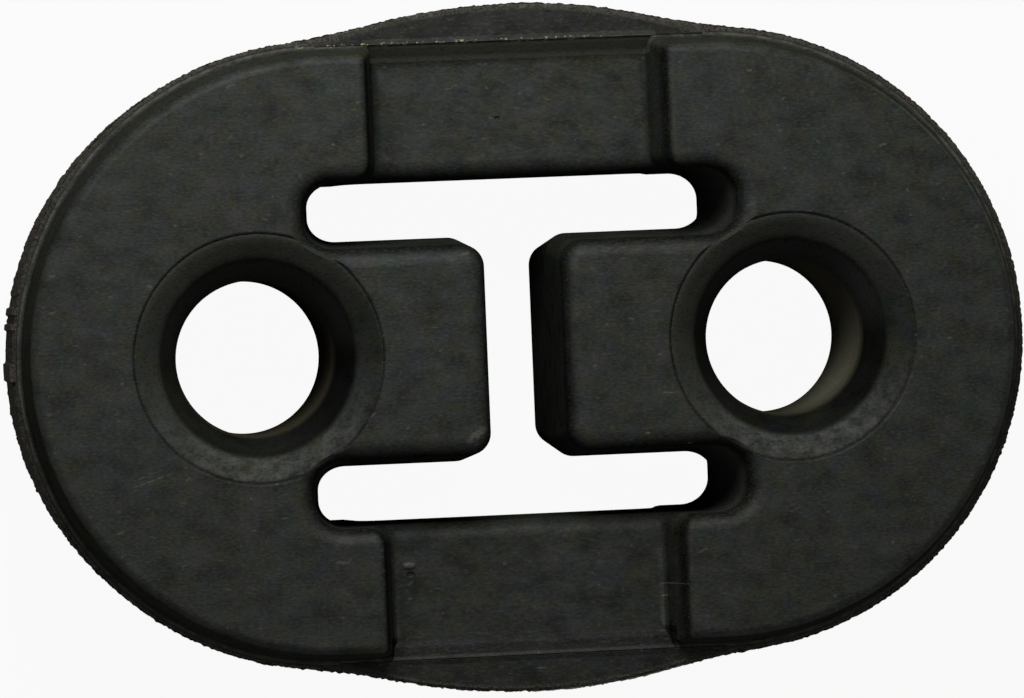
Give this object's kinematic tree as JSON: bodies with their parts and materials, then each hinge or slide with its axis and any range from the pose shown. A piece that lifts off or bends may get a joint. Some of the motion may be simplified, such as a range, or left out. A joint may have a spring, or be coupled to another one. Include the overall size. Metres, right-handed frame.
{
  "type": "exhaust hanger",
  "caption": "Oval moulded rubber exhaust hanger with two through bores, an H-shaped slot between them and recessed panels on both long sides.",
  "frame": {"origin": "middle of the back face, on the surface that the hanger lies on", "axes": "+X along the length through both bores, +Y across the width, +Z along the bores, out of the front face"},
  "size_m": [0.0698, 0.0472, 0.021],
  "materials": {
    "rubber": "matt moulded black rubber with a green tinge, aged and lightly scuffed"
  },
  "bodies": {
    "root": {"rubber_hanger": "rubber"}
  },
  "joints": []
}
